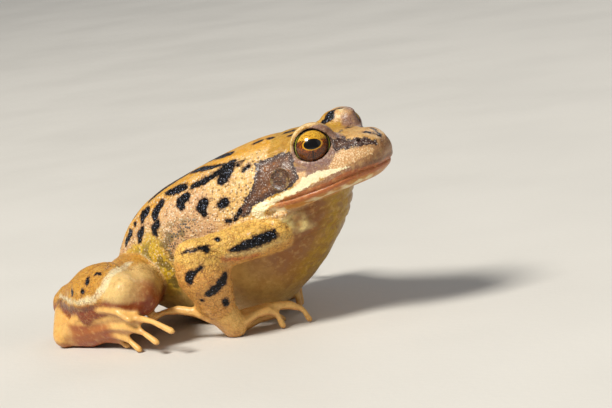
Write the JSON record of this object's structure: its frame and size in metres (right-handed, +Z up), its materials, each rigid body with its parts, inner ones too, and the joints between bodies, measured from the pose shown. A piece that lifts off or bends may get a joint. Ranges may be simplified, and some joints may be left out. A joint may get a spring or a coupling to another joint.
{
  "type": "common frog",
  "caption": "Life-size sitting common frog with raised head, folded hind legs and webbed hind feet, as a still display model.",
  "frame": {"origin": "on the floor under the middle of the frog's length and width", "axes": "+X towards the snout, +Y to the frog's left, +Z up; the right eye and tympanum are on -Y"},
  "size_m": [0.073, 0.0582, 0.0376],
  "materials": {
    "skin": "wet, finely granular skin",
    "eye": "clear polished cornea over a gold and copper iris"
  },
  "bodies": {
    "root": {"head": "skin", "lower_jaw": "skin", "trunk": "skin", "eye_right": "eye", "tympanum_right": "skin", "eye_left": "eye", "tympanum_left": "skin", "upper_arm_right": "skin", "forearm_right": "skin", "hand_right": "skin", "finger_right_1": "skin", "finger_right_2": "skin", "finger_right_3": "skin", "finger_right_4": "skin", "thigh_right": "skin", "shank_right": "skin", "tarsus_right": "skin", "foot_right": "skin", "toe_right_1": "skin", "toe_right_2": "skin", "toe_right_3": "skin", "toe_right_4": "skin", "toe_right_5": "skin", "upper_arm_left": "skin", "forearm_left": "skin", "hand_left": "skin", "finger_left_1": "skin", "finger_left_2": "skin", "finger_left_3": "skin", "finger_left_4": "skin", "thigh_left": "skin", "shank_left": "skin", "tarsus_left": "skin", "foot_left": "skin", "toe_left_1": "skin", "toe_left_2": "skin", "toe_left_3": "skin", "toe_left_4": "skin", "toe_left_5": "skin"}
  },
  "joints": []
}
